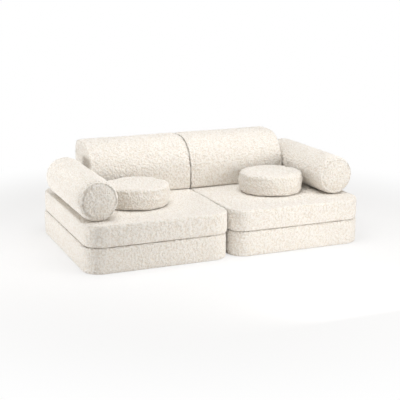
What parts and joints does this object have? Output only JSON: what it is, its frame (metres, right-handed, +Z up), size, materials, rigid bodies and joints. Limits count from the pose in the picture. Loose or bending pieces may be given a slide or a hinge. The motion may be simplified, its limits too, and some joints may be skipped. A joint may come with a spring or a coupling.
{
  "type": "modular foam play sofa",
  "caption": "Low two-seat modular foam sofa: stacked rounded mats, arched backs, cylindrical bolster arms and round cushions, each in a removable zipped teddy cover.",
  "frame": {"origin": "on the floor, in the middle of the footprint", "axes": "+X along the front towards the right seat, +Y from the front to the back, +Z up"},
  "size_m": [1.537, 0.905, 0.5176],
  "materials": {
    "boucle": "matte",
    "foam": "matte",
    "zip_tape": "matte",
    "zip_metal": "satin"
  },
  "bodies": {
    "left_lower_mat": {"left_lower_mat_cover": "boucle", "left_lower_mat_core": "foam", "left_lower_mat_zip": "zip_tape"},
    "left_upper_mat": {"left_upper_mat_cover": "boucle", "left_upper_mat_core": "foam", "left_upper_mat_zip": "zip_tape"},
    "left_back": {"left_back_cover": "boucle", "left_back_core": "foam", "left_back_zip": "zip_tape"},
    "left_bolster": {"left_bolster_cover": "boucle", "left_bolster_core": "foam", "left_bolster_zip": "zip_tape"},
    "left_round": {"left_round_cover": "boucle", "left_round_core": "foam", "left_round_zip": "zip_tape"},
    "right_lower_mat": {"right_lower_mat_cover": "boucle", "right_lower_mat_core": "foam", "right_lower_mat_zip": "zip_tape"},
    "right_upper_mat": {"right_upper_mat_cover": "boucle", "right_upper_mat_core": "foam", "right_upper_mat_zip": "zip_tape"},
    "right_back": {"right_back_cover": "boucle", "right_back_core": "foam", "right_back_zip": "zip_tape"},
    "right_bolster": {"right_bolster_cover": "boucle", "right_bolster_core": "foam", "right_bolster_zip": "zip_tape"},
    "right_round": {"right_round_cover": "boucle", "right_round_core": "foam", "right_round_zip": "zip_tape"},
    "left_lower_mat_slider": {"left_lower_mat_slider": "zip_metal"},
    "left_lower_mat_pull": {"left_lower_mat_pull": "zip_metal"},
    "left_upper_mat_slider": {"left_upper_mat_slider": "zip_metal"},
    "left_upper_mat_pull": {"left_upper_mat_pull": "zip_metal"},
    "left_back_slider": {"left_back_slider": "zip_metal"},
    "left_back_pull": {"left_back_pull": "zip_metal"},
    "left_bolster_slider": {"left_bolster_slider": "zip_metal"},
    "left_bolster_pull": {"left_bolster_pull": "zip_metal"},
    "left_round_slider": {"left_round_slider": "zip_metal"},
    "left_round_pull": {"left_round_pull": "zip_metal"},
    "right_lower_mat_slider": {"right_lower_mat_slider": "zip_metal"},
    "right_lower_mat_pull": {"right_lower_mat_pull": "zip_metal"},
    "right_upper_mat_slider": {"right_upper_mat_slider": "zip_metal"},
    "right_upper_mat_pull": {"right_upper_mat_pull": "zip_metal"},
    "right_back_slider": {"right_back_slider": "zip_metal"},
    "right_back_pull": {"right_back_pull": "zip_metal"},
    "right_bolster_slider": {"right_bolster_slider": "zip_metal"},
    "right_bolster_pull": {"right_bolster_pull": "zip_metal"},
    "right_round_slider": {"right_round_slider": "zip_metal"},
    "right_round_pull": {"right_round_pull": "zip_metal"}
  },
  "joints": [
    {"name": "right_seat_slide", "type": "slide", "parent": "left_lower_mat", "child": "right_lower_mat", "axis": [1, 0, 0], "range_m": [0, 0.3]},
    {"name": "left_upper_mat_lift", "type": "slide", "parent": "left_lower_mat", "child": "left_upper_mat", "axis": [0, 0, 1], "range_m": [0, 0.3]},
    {"name": "left_back_lift", "type": "slide", "parent": "left_upper_mat", "child": "left_back", "axis": [0, 0, 1], "range_m": [0, 0.35]},
    {"name": "left_bolster_lift", "type": "slide", "parent": "left_upper_mat", "child": "left_bolster", "axis": [0, 0, 1], "range_m": [0, 0.35]},
    {"name": "left_round_lift", "type": "slide", "parent": "left_upper_mat", "child": "left_round", "axis": [0, 0, 1], "range_m": [0, 0.35]},
    {"name": "right_upper_mat_lift", "type": "slide", "parent": "right_lower_mat", "child": "right_upper_mat", "axis": [0, 0, 1], "range_m": [0, 0.3]},
    {"name": "right_back_lift", "type": "slide", "parent": "right_upper_mat", "child": "right_back", "axis": [0, 0, 1], "range_m": [0, 0.35]},
    {"name": "right_bolster_lift", "type": "slide", "parent": "right_upper_mat", "child": "right_bolster", "axis": [0, 0, 1], "range_m": [0, 0.35]},
    {"name": "right_round_lift", "type": "slide", "parent": "right_upper_mat", "child": "right_round", "axis": [0, 0, 1], "range_m": [0, 0.35]},
    {"name": "left_lower_mat_zip_run", "type": "slide", "parent": "left_lower_mat", "child": "left_lower_mat_slider", "axis": [1, 0, 0], "range_m": [0, 0.4784]},
    {"name": "left_lower_mat_pull_swing", "type": "hinge", "parent": "left_lower_mat_slider", "child": "left_lower_mat_pull", "pos_m": [-0.6206, 0.453, 0.065], "axis": [0, 0, 1], "range_deg": [0, 180]},
    {"name": "left_upper_mat_zip_run", "type": "slide", "parent": "left_upper_mat", "child": "left_upper_mat_slider", "axis": [1, 0, 0], "range_m": [0, 0.4784]},
    {"name": "left_upper_mat_pull_swing", "type": "hinge", "parent": "left_upper_mat_slider", "child": "left_upper_mat_pull", "pos_m": [-0.6146, 0.453, 0.1828], "axis": [0, 0, 1], "range_deg": [0, 180]},
    {"name": "left_back_zip_run", "type": "slide", "parent": "left_back", "child": "left_back_slider", "axis": [1, 0, 0], "range_m": [0, 0.4291]},
    {"name": "left_back_pull_swing", "type": "hinge", "parent": "left_back_slider", "child": "left_back_pull", "pos_m": [-0.4953, 0.433, 0.3006], "axis": [0, 0, 1], "range_deg": [0, 180]},
    {"name": "left_bolster_zip_run", "type": "slide", "parent": "left_bolster", "child": "left_bolster_slider", "axis": [0, -1, 0], "range_m": [0, 0.4884]},
    {"name": "left_bolster_pull_swing", "type": "hinge", "parent": "left_bolster_slider", "child": "left_bolster_pull", "pos_m": [-0.59037, 0.1938, 0.26418], "axis": [0.7071, 0, 0.7071], "range_deg": [-90, 90]},
    {"name": "left_round_zip_run", "type": "hinge", "parent": "left_round", "child": "left_round_slider", "pos_m": [-0.3851, -0.096, 0.2926], "axis": [0, 0, -1], "range_deg": [0, 82.97]},
    {"name": "left_round_pull_swing", "type": "hinge", "parent": "left_round_slider", "child": "left_round_pull", "pos_m": [-0.30659, 0.06486, 0.2926], "axis": [0, 0, 1], "range_deg": [0, 180]},
    {"name": "right_lower_mat_zip_run", "type": "slide", "parent": "right_lower_mat", "child": "right_lower_mat_slider", "axis": [1, 0, 0], "range_m": [0, 0.4784]},
    {"name": "right_lower_mat_pull_swing", "type": "hinge", "parent": "right_lower_mat_slider", "child": "right_lower_mat_pull", "pos_m": [0.1362, 0.453, 0.065], "axis": [0, 0, 1], "range_deg": [0, 180]},
    {"name": "right_upper_mat_zip_run", "type": "slide", "parent": "right_upper_mat", "child": "right_upper_mat_slider", "axis": [1, 0, 0], "range_m": [0, 0.4784]},
    {"name": "right_upper_mat_pull_swing", "type": "hinge", "parent": "right_upper_mat_slider", "child": "right_upper_mat_pull", "pos_m": [0.1362, 0.453, 0.1828], "axis": [0, 0, 1], "range_deg": [0, 180]},
    {"name": "right_back_zip_run", "type": "slide", "parent": "right_back", "child": "right_back_slider", "axis": [1, 0, 0], "range_m": [0, 0.4291]},
    {"name": "right_back_pull_swing", "type": "hinge", "parent": "right_back_slider", "child": "right_back_pull", "pos_m": [0.0662, 0.433, 0.3006], "axis": [0, 0, 1], "range_deg": [0, 180]},
    {"name": "right_bolster_zip_run", "type": "slide", "parent": "right_bolster", "child": "right_bolster_slider", "axis": [0, -1, 0], "range_m": [0, 0.4884]},
    {"name": "right_bolster_pull_swing", "type": "hinge", "parent": "right_bolster_slider", "child": "right_bolster_pull", "pos_m": [0.74043, 0.2586, 0.26418], "axis": [0.7071, 0, 0.7071], "range_deg": [-90, 90]},
    {"name": "right_round_zip_run", "type": "hinge", "parent": "right_round", "child": "right_round_slider", "pos_m": [0.3851, -0.092, 0.2926], "axis": [0, 0, -1], "range_deg": [0, 82.97]},
    {"name": "right_round_pull_swing", "type": "hinge", "parent": "right_round_slider", "child": "right_round_pull", "pos_m": [0.22424, -0.01349, 0.2926], "axis": [0, 0, 1], "range_deg": [0, 180]}
  ]
}
